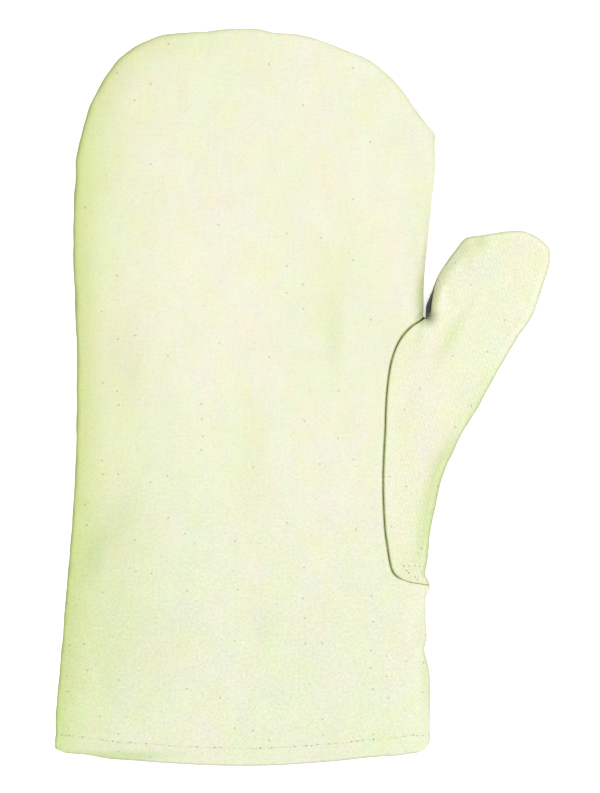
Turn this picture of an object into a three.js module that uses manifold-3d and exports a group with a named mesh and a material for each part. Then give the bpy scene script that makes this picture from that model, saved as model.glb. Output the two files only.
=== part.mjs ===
// A canvas oven glove: a roomy right-hand mitten of undyed cotton twill, sewn from three panels.
// It lies on the back of the hand with the palm up, and keeps its form because the canvas is stiff.
// Units are millimetres. +Z is up, +Y runs from the hem to the fingertips and +X points to the thumb.

import * as THREE from 'three';
import { mergeVertices } from 'three/addons/utils/BufferGeometryUtils.js';
import Module from 'manifold-3d';

const wasm = await Module();
wasm.setup();

// Driving dimensions
const canvasThickness = 2;
const hemThickness = 1.6;
const hemDepth = 10;
const seamGap = 0.3;
const pressedDepth = 5; // how far the back would bulge through the table if it weren't flattened
const bulge = 2.3; // exponent of the superellipse across the glove: 2 is an ellipse, more is boxier
const ribSteps = 8;

// The glove's edge, seen from above, in stretches that follow each other from the hem on the little finger's side,
// over the fingertips and round the thumb, back to the hem. z is the side seam's height above the table.
// Each stretch has its ribs, the lines that cross the glove from this edge to the spine.
const edge = {
  outerHem: { ribs: 1, rows: [
    { x: -93.0, y: 7.0, z: 18 },
    { x: -92.7, y: 17.0, z: 18 },
  ] },
  outerWrist: { ribs: 7, rows: [
    { x: -92.7, y: 17.0, z: 18 },
    { x: -90.6, y: 45.0, z: 18 },
    { x: -88.3, y: 70.0, z: 17 },
    { x: -85.6, y: 100.0, z: 17 },
  ] },
  outerPalm: { ribs: 14, rows: [
    { x: -85.6, y: 100.0, z: 17 },
    { x: -83.0, y: 135.0, z: 17 },
    { x: -82.0, y: 175.0, z: 17 },
    { x: -83.6, y: 228.0, z: 16 },
    { x: -84.1, y: 260.0, z: 16 },
    { x: -83.2, y: 289.0, z: 15 },
  ] },
  fingertips: { ribs: 22, rows: [
    { x: -83.2, y: 289.0, z: 15 },
    { x: -79.0, y: 303.0, z: 15 },
    { x: -72.0, y: 322.0, z: 14 },
    { x: -60.5, y: 337.0, z: 14 },
    { x: -46.0, y: 345.3, z: 13 },
    { x: -27.0, y: 348.2, z: 13 },
    { x: -6.0, y: 350.0, z: 13 },
    { x: 20.0, y: 347.6, z: 13 },
    { x: 42.0, y: 341.0, z: 13 },
    { x: 60.0, y: 332.5, z: 14 },
    { x: 74.5, y: 318.0, z: 14 },
    { x: 86.5, y: 301.0, z: 15 },
  ] },
  innerPalm: { ribs: 14, rows: [
    { x: 86.5, y: 301.0, z: 15 },
    { x: 87.2, y: 284.0, z: 16 },
    { x: 84.6, y: 258.0, z: 16 },
    { x: 82.4, y: 236.0, z: 17 },
    { x: 82.2, y: 213.0, z: 17 },
  ] },
  thumbFront: { ribs: 9, rows: [
    { x: 82.2, y: 213.0, z: 17 },
    { x: 85.2, y: 223.0, z: 16 },
    { x: 91.2, y: 235.5, z: 15 },
    { x: 101.8, y: 251.0, z: 14 },
  ] },
  thumbTip: { ribs: 8, rows: [
    { x: 101.8, y: 251.0, z: 14 },
    { x: 115.0, y: 253.2, z: 13 },
    { x: 130.0, y: 254.2, z: 13 },
    { x: 138.5, y: 250.0, z: 13 },
    { x: 142.4, y: 243.0, z: 13 },
  ] },
  thumbBack: { ribs: 9, rows: [
    { x: 142.4, y: 243.0, z: 13 },
    { x: 140.4, y: 231.0, z: 13 },
    { x: 134.0, y: 214.0, z: 14 },
    { x: 119.5, y: 192.0, z: 14 },
    { x: 103.5, y: 164.0, z: 15 },
    { x: 90.5, y: 136.0, z: 16 },
    { x: 85.0, y: 110.0, z: 17 },
    { x: 83.2, y: 88.0, z: 17 },
  ] },
  innerWrist: { ribs: 7, rows: [
    { x: 83.2, y: 88.0, z: 17 },
    { x: 82.6, y: 76.0, z: 17 },
    { x: 82.6, y: 57.0, z: 18 },
    { x: 85.2, y: 42.0, z: 18 },
    { x: 84.8, y: 17.0, z: 18 },
  ] },
  innerHem: { ribs: 1, rows: [
    { x: 84.8, y: 17.0, z: 18 },
    { x: 84.2, y: 7.0, z: 18 },
  ] },
};

// The spine is the crown of the palm side, with a branch to the thumb. z is its height above the table.
const spine = {
  hem: [
    { x: -4, y: 0, z: 46 },
    { x: -4, y: 10, z: 46 },
  ],
  wrist: [
    { x: -4, y: 10, z: 46 },
    { x: -3, y: 60, z: 45 },
    { x: 0, y: 100, z: 44 },
  ],
  palm: [
    { x: 0, y: 100, z: 44 },
    { x: 0, y: 190, z: 43 },
    { x: 0, y: 272, z: 39 },
  ],
  fingers: [{ x: 0, y: 272, z: 39 }],
  thumb: [
    { x: 0, y: 100, z: 44 },
    { x: 54, y: 132, z: 41 },
    { x: 86, y: 172, z: 36 },
    { x: 106, y: 206, z: 32 },
    { x: 119, y: 229, z: 29 },
  ],
  thumbNail: [{ x: 119, y: 229, z: 29 }],
};

// Which spine each stretch of the edge is ribbed to, and whether the ribs run from the hem up or back down.
const ribbing = [
  { stretch: edge.outerHem, foot: spine.hem, down: false },
  { stretch: edge.outerWrist, foot: spine.wrist, down: false },
  { stretch: edge.outerPalm, foot: spine.palm, down: false },
  { stretch: edge.fingertips, foot: spine.fingers, down: false },
  { stretch: edge.innerPalm, foot: spine.palm, down: true },
  { stretch: edge.thumbFront, foot: spine.thumb, down: false },
  { stretch: edge.thumbTip, foot: spine.thumbNail, down: false },
  { stretch: edge.thumbBack, foot: spine.thumb, down: true },
  { stretch: edge.innerWrist, foot: spine.wrist, down: true },
  { stretch: edge.innerHem, foot: spine.hem, down: true },
];

// Soft folds and dents of the palm side: a hump of the given rise, stretched along its run (degrees from +X).
const folds = [
  { x: -25, y: 150, run: 94, length: 75, width: 13, rise: 1.2 },
  { x: -2, y: 140, run: 92, length: 50, width: 12, rise: -1.0 },
  { x: 39, y: 226, run: 80, length: 34, width: 15, rise: -1.6 },
  { x: -66, y: 285, run: 60, length: 30, width: 9, rise: -1.2 },
  { x: -28, y: 64, run: 20, length: 22, width: 12, rise: -1.0 },
  { x: 96, y: 218, run: 62, length: 20, width: 6, rise: 1.2 },
  { x: 99, y: 207, run: 58, length: 26, width: 5, rise: -1.6 },
];

// The seam that sets the thumb panel into the palm. It starts in the open notch over the crotch of the thumb, so that
// it parts the two sides there, and runs down the palm to the side seam.
const thumbSeam = [
  { x: 93.0, y: 256.0 },
  { x: 86.6, y: 236.0 },
  { x: 83.7, y: 222.0 },
  { x: 81.8, y: 212.4 },
  { x: 76.0, y: 208.5 },
  { x: 71.0, y: 202.5 },
  { x: 67.5, y: 193.0 },
  { x: 65.3, y: 180.0 },
  { x: 64.3, y: 160.0 },
  { x: 63.2, y: 137.0 },
  { x: 64.0, y: 115.0 },
  { x: 66.2, y: 97.5 },
  { x: 70.5, y: 89.2 },
  { x: 77.0, y: 86.4 },
  { x: 90.0, y: 85.4 },
];
const thumbSeamSteps = 40;
const farRight = 170;
const abovePart = 80;

const canvas = new THREE.MeshStandardMaterial({ color: 0xe9e4c6, roughness: 0.92, metalness: 0 });
const thumbCanvas = new THREE.MeshStandardMaterial({ color: 0xe5e0bf, roughness: 0.92, metalness: 0 });

function smoothLine(rows, steps) {
  const points = rows.map(({ x, y, z = 0 }) => new THREE.Vector3(x, y, z));
  if (points.length === 1) return Array.from({ length: steps + 1 }, () => points[0].clone());
  return new THREE.CatmullRomCurve3(points, false, 'centripetal').getSpacedPoints(steps);
}

// Every rib's two ends, in order round the glove. Neighbouring stretches share the rib between them.
function makeRibs() {
  const ribs = [];
  for (const { stretch, foot, down } of ribbing) {
    const seams = smoothLine(stretch.rows, stretch.ribs);
    const feet = smoothLine(foot, stretch.ribs);
    if (down) feet.reverse();
    seams.forEach((seam, i) => {
      if (i > 0 || ribs.length === 0) ribs.push({ seam, foot: feet[i] });
    });
  }
  return ribs;
}

function foldHeight(x, y) {
  let height = 0;
  for (const fold of folds) {
    const run = THREE.MathUtils.degToRad(fold.run);
    const along = (x - fold.x) * Math.cos(run) + (y - fold.y) * Math.sin(run);
    const across = (y - fold.y) * Math.cos(run) - (x - fold.x) * Math.sin(run);
    height += fold.rise * Math.exp(-((along / fold.length) ** 2) - (across / fold.width) ** 2);
  }
  return height;
}

// The glove's outer face on one side, as rows of points from the side seam to the spine, one row for each rib.
function outerFace(ribs, palmUp) {
  return ribs.map(({ seam, foot }) => {
    const row = [];
    for (let step = 0; step <= ribSteps; step++) {
      const turn = (step / ribSteps) * (Math.PI / 2);
      const across = 1 - Math.max(Math.cos(turn), 0) ** (2 / bulge);
      const lift = Math.sin(turn) ** (2 / bulge);
      const x = THREE.MathUtils.lerp(seam.x, foot.x, across);
      const y = THREE.MathUtils.lerp(seam.y, foot.y, 1 - (1 - across) ** 2);
      const crown = THREE.MathUtils.lerp(seam.z, foot.z, lift) + foldHeight(x, y) * lift;
      const pressed = Math.max(THREE.MathUtils.lerp(seam.z, -pressedDepth, lift), 0);
      row.push(new THREE.Vector3(x, y, palmUp ? crown : pressed));
    }
    return row;
  });
}

const placeKey = (point) => point.toArray().map((value) => Math.round(value * 1000)).join();

// Calls back with the corners of each triangle of a face made of rows, leaving out those with no area.
function eachTriangle(rows, flipped, visit) {
  for (let i = 0; i + 1 < rows.length; i++) {
    for (let k = 0; k + 1 < rows[i].length; k++) {
      const [a, b, c, d] = [rows[i][k], rows[i + 1][k], rows[i + 1][k + 1], rows[i][k + 1]];
      for (const corners of [[a, b, c], [a, c, d]]) {
        if (new Set(corners.map(placeKey)).size < 3) continue;
        visit(flipped ? corners.reverse() : corners);
      }
    }
  }
}

// Outward directions at every point of both outer faces, smooth across the side seam and the spine.
function outwardDirections(palmFace, backFace) {
  const directions = new Map();
  const normal = new THREE.Vector3();
  const side = new THREE.Vector3();
  for (const [rows, flipped] of [[palmFace, true], [backFace, false]]) {
    eachTriangle(rows, flipped, ([a, b, c]) => {
      normal.subVectors(b, a).cross(side.subVectors(c, a));
      for (const point of [a, b, c]) {
        const key = placeKey(point);
        if (!directions.has(key)) directions.set(key, new THREE.Vector3());
        directions.get(key).add(normal);
      }
    });
  }
  for (const direction of directions.values()) direction.normalize();
  return directions;
}

function sunkFace(rows, directions, depth) {
  return rows.map((row) => row.map((point) => point.clone().addScaledVector(directions.get(placeKey(point)), -depth)));
}

// Opens half of the seam gap along the side seam, where each row starts.
function parted(rows, shift) {
  return rows.map((row) => [row[0].clone().setZ(row[0].z + shift), ...row.slice(1)]);
}

function closedGeometry(triangles) {
  const positions = triangles.flat().flatMap((point) => point.toArray());
  const geometry = new THREE.BufferGeometry();
  geometry.setAttribute('position', new THREE.Float32BufferAttribute(positions, 3));
  return mergeVertices(geometry, 1e-3);
}

// A panel's wall, from its outer and inner face, closed along the side seam and at the hem.
function panelWall(outer, inner, flipped) {
  const triangles = [];
  const keep = (corners) => triangles.push(corners);
  eachTriangle(outer, flipped, keep);
  eachTriangle(inner, !flipped, keep);
  const seamStrip = outer.map((row, i) => [inner[i][0], row[0]]);
  eachTriangle(seamStrip, flipped, keep);
  const last = outer.length - 1;
  const firstHem = outer[0].map((point, k) => [point, inner[0][k]]);
  const lastHem = outer[last].map((point, k) => [point, inner[last][k]]);
  eachTriangle(firstHem, flipped, keep);
  eachTriangle(lastHem, !flipped, keep);
  return closedGeometry(triangles);
}

// The turned-in end of the cloth, a band round the inside of the cuff.
function hemBand(palmFace, backFace, directions) {
  const near = canvasThickness + seamGap;
  const ring = (first, second, depth) => {
    const [palmStart, palmEnd] = sunkFace([palmFace[first], palmFace[second]], directions, depth);
    const [backStart, backEnd] = sunkFace([backFace[first], backFace[second]], directions, depth);
    return [...palmStart, ...palmEnd.reverse().slice(1), ...backEnd.slice(1), ...backStart.reverse().slice(1)];
  };
  const last = palmFace.length - 1;
  const rings = [
    ring(0, last, near),
    ring(1, last - 1, near),
    ring(1, last - 1, near + hemThickness),
    ring(0, last, near + hemThickness),
    ring(0, last, near),
  ];
  const triangles = [];
  eachTriangle(rings, true, (corners) => triangles.push(corners));
  return closedGeometry(triangles);
}

function toManifold(geometry) {
  const merged = geometry.index ? geometry : mergeVertices(geometry, 1e-3);
  return new wasm.Manifold(new wasm.Mesh({
    numProp: 3,
    vertProperties: new Float32Array(merged.attributes.position.array),
    triVerts: new Uint32Array(merged.index.array),
  }));
}

function toGeometry(solid) {
  const { vertProperties, triVerts } = solid.getMesh();
  const geometry = new THREE.BufferGeometry();
  geometry.setAttribute('position', new THREE.BufferAttribute(vertProperties, 3));
  geometry.setIndex(new THREE.BufferAttribute(triVerts, 1));
  return geometry;
}

// A block over everything on the thumb's side of the thumb seam, moved off the seam by half of the gap.
function thumbBlock(offSeam) {
  const line = smoothLine(thumbSeam, thumbSeamSteps);
  const moved = line.map((point, i) => {
    const before = line[Math.max(i - 1, 0)];
    const after = line[Math.min(i + 1, line.length - 1)];
    const along = new THREE.Vector2(after.x - before.x, after.y - before.y).normalize();
    return new THREE.Vector2(point.x - along.y * offSeam, point.y + along.x * offSeam);
  });
  const start = moved[0];
  const end = moved[moved.length - 1];
  const shape = new THREE.Shape([
    ...moved,
    new THREE.Vector2(farRight, end.y),
    new THREE.Vector2(farRight, start.y + farRight),
    new THREE.Vector2(start.x, start.y + farRight),
  ]);
  const block = new THREE.ExtrudeGeometry(shape, { depth: abovePart, bevelEnabled: false });
  block.deleteAttribute('normal');
  block.deleteAttribute('uv');
  return toManifold(mergeVertices(block, 1e-3));
}

const ribs = makeRibs();
const palmFace = outerFace(ribs, true);
const backFace = outerFace(ribs, false);
const directions = outwardDirections(palmFace, backFace);
const palmLining = sunkFace(palmFace, directions, canvasThickness);
const backLining = sunkFace(backFace, directions, canvasThickness);

const halfGap = seamGap / 2;
const palmSide = toManifold(panelWall(parted(palmFace, halfGap), parted(palmLining, halfGap), true));
const backSide = panelWall(parted(backFace, -halfGap), parted(backLining, -halfGap), false);

const glove = new THREE.Group();
function addPiece(name, geometry, material) {
  geometry.computeVertexNormals();
  const piece = new THREE.Mesh(geometry, material);
  piece.name = name;
  glove.add(piece);
}

addPiece('palm_panel', toGeometry(palmSide.subtract(thumbBlock(-halfGap))), canvas);
addPiece('thumb_panel', toGeometry(palmSide.intersect(thumbBlock(halfGap))), thumbCanvas);
addPiece('back_panel', backSide, canvas);
addPiece('cuff_hem', hemBand(palmFace, backFace, directions), canvas);

// The origin is the middle of the glove's footprint, on the table.
const footprint = new THREE.Box3().setFromObject(glove);
const middle = footprint.getCenter(new THREE.Vector3());
glove.position.set(-middle.x, -middle.y, -footprint.min.z);

export default glove;
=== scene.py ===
import math
import random

import bmesh
import bpy
import numpy as np
from mathutils import Matrix, Vector, noise
from mathutils.bvhtree import BVHTree
from mathutils.geometry import interpolate_bezier
from mathutils.kdtree import KDTree


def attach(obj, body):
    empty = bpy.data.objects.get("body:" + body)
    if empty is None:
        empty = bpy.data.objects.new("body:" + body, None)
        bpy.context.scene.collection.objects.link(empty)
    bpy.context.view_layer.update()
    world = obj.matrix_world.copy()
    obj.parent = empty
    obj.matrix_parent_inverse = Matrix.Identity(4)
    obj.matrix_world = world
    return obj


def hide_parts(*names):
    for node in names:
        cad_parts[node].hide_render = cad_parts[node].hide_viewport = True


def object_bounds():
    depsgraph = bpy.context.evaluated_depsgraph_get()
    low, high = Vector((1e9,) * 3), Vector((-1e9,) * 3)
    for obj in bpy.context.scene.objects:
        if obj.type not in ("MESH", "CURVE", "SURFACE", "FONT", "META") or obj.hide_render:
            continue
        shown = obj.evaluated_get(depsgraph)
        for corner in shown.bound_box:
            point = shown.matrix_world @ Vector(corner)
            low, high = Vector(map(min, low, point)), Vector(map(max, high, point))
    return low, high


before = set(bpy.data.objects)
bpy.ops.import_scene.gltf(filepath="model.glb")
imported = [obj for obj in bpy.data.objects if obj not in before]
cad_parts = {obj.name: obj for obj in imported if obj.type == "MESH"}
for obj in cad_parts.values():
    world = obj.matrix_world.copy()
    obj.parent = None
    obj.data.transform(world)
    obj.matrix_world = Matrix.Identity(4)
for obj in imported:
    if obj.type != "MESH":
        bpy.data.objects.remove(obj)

cadLow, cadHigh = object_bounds()
mm = 0.001
palmSide, thumbSide, backSide, hemSide = range(4)
print("frame loaded:", ", ".join(sorted(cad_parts)))


# The glove's shape in millimetres, as seen from above with the palm up.
glove = {
    "gridStep": 3.0,  # size of the cloth's cells before they are divided
    "edgeStep": 2.7,  # spacing of the points along the edge
    "borderRows": 2,  # rows of cells that follow the edge
    "seamAtCuff": 18.0,  # height of the side seam over the table
    "seamAtTips": 13.0,
    "palmRise": 30.0,  # height of the palm's crown over the side seam
    "thumbRise": 19.0,
    "palmReach": 84.0,  # half of the width there
    "thumbReach": 27.0,
    "thumbAxis": [(70.0, 10.0), (100.0, 62.0)],
    "thumbFade": (25.0, 60.0),
    "palmPower": 0.75,  # of the section: 1 is an ellipse, less is boxier
    "thumbPower": 0.55,
    "crown": 8,  # the higher, the more sharply the crown levels off
    "pressed": 5.0,  # how far the back would bulge below the table
    "finePoints": 12,  # in each stretch of a smooth line, before its points are spaced evenly
    "borderWidth": 0.85,  # in grid steps, like the welds
    "borderWeld": 0.4,
    "gridWeld": 0.3,
    "levelling": (4, 0.4),  # sweeps and strength of the smoothing that evens the cells out
    "sweeps": 3000,  # of the search for the bag's depth
    "firstDepth": 0.6,  # where that starts, as a share of the palm's reach
}
touching = 1e-6  # metres within which two points are one

# The cut's edge from the hem's corner on the little finger's side, over the fingertips and round the thumb.
outline = {
    "outerSide": [
        (-117.6, -167.2), (-117.3, -153.6), (-116.7, -144.1), (-114.9, -125.1), (-112.5, -96.6),
        (-110.1, -68.1), (-108.1, -39.6), (-107.3, -6.0), (-107.3, 22.0), (-108.1, 46.0), (-109.0, 70.0),
        (-108.6, 93.4), (-107.8, 103.0), (-108.1, 112.4),
    ],
    "fingertips": [
        (-108.1, 112.4), (-105.8, 122.0), (-103.3, 131.4), (-100.7, 139.6), (-95.0, 150.1), (-89.3, 158.4),
        (-83.6, 163.9), (-77.9, 167.6), (-72.2, 170.1), (-66.5, 172.0), (-58.0, 173.0), (-43.7, 174.0),
        (-36.0, 174.9), (-20.9, 174.9), (-15.2, 173.4), (-3.8, 172.5), (7.6, 169.8), (19.0, 165.4),
        (30.4, 160.7), (41.8, 151.8), (47.5, 145.4), (53.2, 137.0), (58.9, 129.6), (62.9, 124.7),
    ],
    "innerSide": [
        (62.9, 124.7), (62.4, 119.0), (62.6, 107.6), (61.0, 90.5), (59.8, 79.1), (58.3, 65.0),
        (57.3, 54.0), (57.0, 46.0), (57.1, 37.6),
    ],
    "notch": [(57.1, 37.6), (58.7, 36.7), (60.3, 37.2)],
    "thumbFront": [
        (60.3, 37.2), (60.5, 42.0), (61.1, 46.5), (62.0, 51.0), (63.3, 55.8), (65.4, 60.2), (67.9, 64.0),
        (71.3, 68.8), (75.0, 73.8), (77.3, 76.0),
    ],
    "thumbTip": [
        (77.3, 76.0), (81.7, 76.8), (85.0, 77.1), (91.7, 78.3), (98.3, 79.1), (104.0, 79.2), (108.3, 77.8),
        (111.6, 76.0), (114.9, 73.4), (117.2, 70.2), (117.7, 66.5),
    ],
    "thumbBack": [
        (117.7, 66.5), (116.8, 61.5), (115.0, 56.5), (113.3, 51.0), (109.7, 40.2), (106.3, 34.5),
        (102.2, 28.8), (95.3, 17.4), (89.0, 6.0), (82.7, -5.4), (75.7, -16.8), (70.2, -28.2), (65.5, -39.6),
        (63.0, -51.0), (60.7, -62.4), (59.4, -73.8), (58.4, -80.0), (57.7, -84.6), (59.6, -86.6),
        (60.3, -89.0),
    ],
    "innerWrist": [
        (60.3, -89.0), (60.2, -92.2), (58.1, -93.9), (58.2, -99.0), (58.4, -108.0), (58.9, -113.7),
        (57.4, -119.4), (58.8, -125.1), (60.3, -130.8), (60.5, -137.5), (60.3, -148.0), (60.5, -159.3),
        (60.2, -164.0), (58.6, -167.2),
    ],
    "hem": [
        (58.6, -167.2), (55.6, -168.2), (51.4, -167.8), (46.6, -168.7), (33.7, -169.4), (17.4, -171.0),
        (-7.1, -172.8), (-27.6, -173.4),
        (-48.0, -172.9), (-67.1, -171.9), (-82.2, -170.8), (-91.7, -170.2), (-102.6, -168.6),
        (-113.0, -168.0), (-117.6, -167.2),
    ],
}
thumbSeam = [
    (57.1, 37.6), (51.1, 33.5), (45.9, 27.5), (42.2, 18.0), (40.0, 5.0), (38.8, -15.0), (37.7, -38.0),
    (38.3, -60.0), (39.9, -71.5), (41.0, -79.0), (42.2, -82.6), (44.1, -84.8), (47.2, -86.2), (51.2, -87.7),
    (56.0, -88.4), (60.3, -89.0),
]

# Soft spots on the palm side, in millimetres: x, y, run in degrees from +X, length, width and amount.
# These are its folds and dents, where the amount is their rise.
folds = [
    (-49.7, -25, 94, 75, 13, 1.2), (-26.7, -35, 92, 50, 12, -1.0), (14.3, 51, 80, 34, 15, -1.6),
    (-90.7, 110, 60, 30, 9, -1.2), (-52.7, -111, 20, 22, 12, -1.0), (-74.7, -45, 92, 60, 14, -1.0),
    (68.3, 42, 66, 22, 5, 1.2), (74.3, 34, 64, 24, 4, -1.6), (77.8, 66, 80, 8, 3, -2.0),
    (84.3, 73, 80, 6, 3, -2.0), (49.3, -20, 86, 40, 4, -1.0), (56.3, -60, 80, 22, 4, -1.8),
]

# Painted shade, yellower and darker: along creases, beside the crotch and along the shaded edges.
paintedShadeSpots = [
    (70.5, 27, 61.7, 24, 3.6, 0.45), (54.5, 29, 75, 6, 3, 0.4), (84.2, 73.6, 80, 5, 3.5, 0.6),
    (77.1, 69.8, 70, 5, 3, 0.5), (69.5, 59, 62, 10, 2.5, 0.4), (82.5, -7, 61.8, 25, 4, 0.95),
    (66.5, -32, 68, 15, 4.5, 0.8), (61, -62, 82, 20, 7, 0.8), (57, 46, 88, 11, 3.4, 1.0),
    (15, 35.8, 86, 28, 5, 0.35), (-18.7, -110, 80, 14, 6, 0.3), (-88.5, -59, 70, 16, 8, 0.35),
    (-99.4, -73, 80, 12, 5, 0.35), (58.5, -134, 90, 22, 3, 0.5), (-88, -105, 92, 70, 34, 0.38),
    (-84, 16, 90, 26, 12, 0.34), (-88, -170, 2, 26, 3, 0.8),
]


def smoothStep(low, high, value):
    share = min(max((value - low) / (high - low), 0.0), 1.0)
    return share * share * (3 - 2 * share)


def partWay(low, high, share):
    return low + (high - low) * share


def bell(away, width):
    return math.exp(-(away / width) ** 2)


def evenly(line, step):
    along = [0.0]
    for here, there in zip(line, line[1:]):
        along.append(along[-1] + (there - here).length)
    wanted = np.linspace(0.0, along[-1], max(1, round(along[-1] / step)) + 1)
    sides = [np.interp(wanted, along, [point[axis] for point in line]) for axis in range(3)]
    return [Vector(point) for point in zip(*sides)]


def smoothLine(points):
    line = [Vector((x, y, 0.0)) * mm for x, y in points]
    ends = [2 * line[0] - line[1]] + line + [2 * line[-1] - line[-2]]
    fine = []
    for before, here, there, after in zip(ends, ends[1:], ends[2:], ends[3:]):
        reach = (there - here).length / 3
        leave = here + (there - before).normalized() * reach
        arrive = there - (after - here).normalized() * reach
        fine += interpolate_bezier(here, leave, arrive, there, glove["finePoints"])[:-1]
    return evenly(fine + [line[-1]], glove["edgeStep"] * mm)


def nearestVert(verts, x, y):
    place = Vector((x, y, 0.0)) * mm
    return min(verts, key=lambda vert: (vert.co - place).length)


def treeOf(places):
    tree = KDTree(len(places))
    for number, place in enumerate(places):
        tree.insert(place, number)
    tree.balance()
    return tree


def panelOf(mesh):
    return mesh.faces.layers.int["panel"]


def flatOf(mesh):
    return mesh.verts.layers.float_vector["flat"]


def middleFace(mesh, panel, side):
    return max((face for face in mesh.faces if face[panel] == side), key=lambda face: len(face.verts))


def borderRows(mesh, panel, side):
    step = glove["gridStep"] * mm
    for row in range(glove["borderRows"]):
        face = middleFace(mesh, panel, side)
        bmesh.ops.inset_individual(
            mesh, faces=[face], thickness=glove["borderWidth"] * step, use_even_offset=True)
        bmesh.ops.remove_doubles(mesh, verts=face.verts[:], dist=glove["borderWeld"] * step)
    return middleFace(mesh, panel, side)


def gridCuts(mesh, face):
    step = glove["gridStep"] * mm
    geometry = [face, *face.edges, *face.verts]
    xs = [vert.co.x for vert in face.verts]
    ys = [vert.co.y for vert in face.verts]
    for axis, low, high in ((0, min(xs), max(xs)), (1, min(ys), max(ys))):
        normal = Vector((axis == 0, axis == 1, 0))
        for line in range(math.ceil(low / step), math.floor(high / step) + 1):
            cut = bmesh.ops.bisect_plane(
                mesh, geom=geometry, dist=touching, plane_co=normal * line * step, plane_no=normal)
            geometry = cut["geom"]


def flatCut():
    # One side of the glove lying flat: the palm with its thumb, parted along the thumb's seam.
    mesh = bmesh.new()
    panel = mesh.faces.layers.int.new("panel")
    sewn = mesh.verts.layers.int.new("sewn")
    edge = {stretch: [mesh.verts.new(point) for point in smoothLine(points)[:-1]]
            for stretch, points in outline.items()}
    around = [vert for line in edge.values() for vert in line]
    whole = mesh.faces.new(reversed(around))
    start = nearestVert(around, *thumbSeam[0])
    end = nearestVert(around, *thumbSeam[-1])
    between = smoothLine(thumbSeam)[1:-1]
    bmesh.utils.face_split(whole, start, end, coords=between)
    for face in mesh.faces:
        face[panel] = thumbSide if edge["thumbTip"][0] in face.verts else palmSide
    fixed = set(mesh.verts)
    for side in (palmSide, thumbSide):
        gridCuts(mesh, borderRows(mesh, panel, side))
    inner = [vert for vert in mesh.verts if vert not in fixed]
    bmesh.ops.remove_doubles(mesh, verts=inner, dist=glove["gridWeld"] * glove["gridStep"] * mm)
    bmesh.ops.triangulate(mesh, faces=[face for face in mesh.faces if len(face.verts) > 4])
    inner = [vert for vert in mesh.verts if vert not in fixed]
    seam = set(around) - set(edge["hem"][1:])
    for vert in mesh.verts:
        vert[sewn] = vert in seam
    sweeps, strength = glove["levelling"]
    for sweep in range(sweeps):
        bmesh.ops.smooth_vert(mesh, verts=inner, factor=strength, use_axis_x=True, use_axis_y=True)
    return mesh


def summed(heads, tails, atHeads, atTails, count):
    # What the edges bring to each point: a value at the edge's head and one at its tail, or 1 for None.
    return np.bincount(heads, atHeads, count) + np.bincount(tails, atTails, count)


def bagDepth(mesh, sewn):
    # How deep a blown-up bag of this cut is, at each point: half of its width in a long straight stretch.
    mesh.verts.index_update()
    heads = np.array([edge.verts[0].index for edge in mesh.edges])
    tails = np.array([edge.verts[1].index for edge in mesh.edges])
    pull = np.array([edge.calc_length() ** -2 for edge in mesh.edges])
    held = np.array([vert[sewn] == 1 for vert in mesh.verts])
    count = len(mesh.verts)
    links = summed(heads, tails, None, None, count)
    pulls = summed(heads, tails, pull, pull, count)
    swell = np.where(held, 0.0, (glove["firstDepth"] * glove["palmReach"] * mm) ** 2 / 2)
    for sweep in range(glove["sweeps"]):
        around = summed(heads, tails, pull * swell[tails], pull * swell[heads], count)
        swell = np.where(held, 0.0, (around + links / 4) / pulls)
    return np.sqrt(2 * swell) / mm


def thumbShare(place):
    root, tip = (Vector((x, y, 0.0)) * mm for x, y in glove["thumbAxis"])
    axis = tip - root
    along = min(max((place - root).dot(axis) / axis.length_squared, 0.0), 1.0)
    away = (place - root - axis * along).length / mm
    return 1 - smoothStep(*glove["thumbFade"], away)


def spotAt(place, x, y, direction, length, width, amount):
    # What a soft spot brings to this place.
    run = math.radians(direction)
    right, up = place.x / mm - x, place.y / mm - y
    along = right * math.cos(run) + up * math.sin(run)
    across = up * math.cos(run) - right * math.sin(run)
    return amount * math.exp(-(along / length) ** 2 - (across / width) ** 2)


def spotsAt(place, spots):
    return sum(spotAt(place, *spot) for spot in spots)


def heightOf(place, depth, palmUp):
    upward = (place.y - cadLow.y) / (cadHigh.y - cadLow.y)
    seamZ = partWay(glove["seamAtCuff"], glove["seamAtTips"], upward)
    thumb = thumbShare(place)
    reach = partWay(glove["palmReach"], glove["thumbReach"], thumb)
    rise = partWay(glove["palmRise"], glove["thumbRise"], thumb)
    power = partWay(glove["palmPower"], glove["thumbPower"], thumb)
    lift = (depth / reach) ** power
    lift /= (1 + lift ** glove["crown"]) ** (1 / glove["crown"])
    if palmUp:
        return (seamZ + (rise + spotsAt(place, folds)) * lift) * mm
    return max(seamZ - (seamZ + glove["pressed"]) * lift, 0.0) * mm


# Where the thumb meets the palm, the back's cloth stands out past the seam beside the thumb's edge.
# Its share also carries painted light on the palm's side and a painted shadow on the back.
crotch = {
    "foot": (60.3, 37.2),
    "top": (67.0, 63.0),
    "width": 6.0,  # in millimetres, like the push
    "push": 7.6,
    "rising": (-16.0, -4.0),  # along the edge from its foot, on the back
    "flank": (-1.0, 8.0),  # the same on the palm's side
    "flankWidth": 5.5,
    "falling": (-2.0, 34.0),
    "corner": (58.0, 37.8),  # where painted shade darkens the palm's edge
    "cornerWidth": 2.4,
    "cornerShade": 0.5,
}


def crotchShare(place, rising, width):
    foot, top = (Vector((*point, 0.0)) for point in (crotch["foot"], crotch["top"]))
    run = (top - foot).normalized()
    reach = place / mm - foot
    along, across = reach.dot(run), reach.cross(run).z
    share = smoothStep(*rising, along) * (1 - smoothStep(*crotch["falling"], along))
    return share * bell(across, width)


def newFloats(mesh, *names):
    for name in names:
        mesh.verts.layers.float.new(name)
    return [mesh.verts.layers.float[name] for name in names]


def only(items, kind):
    return [item for item in items if isinstance(item, kind)]


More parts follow.
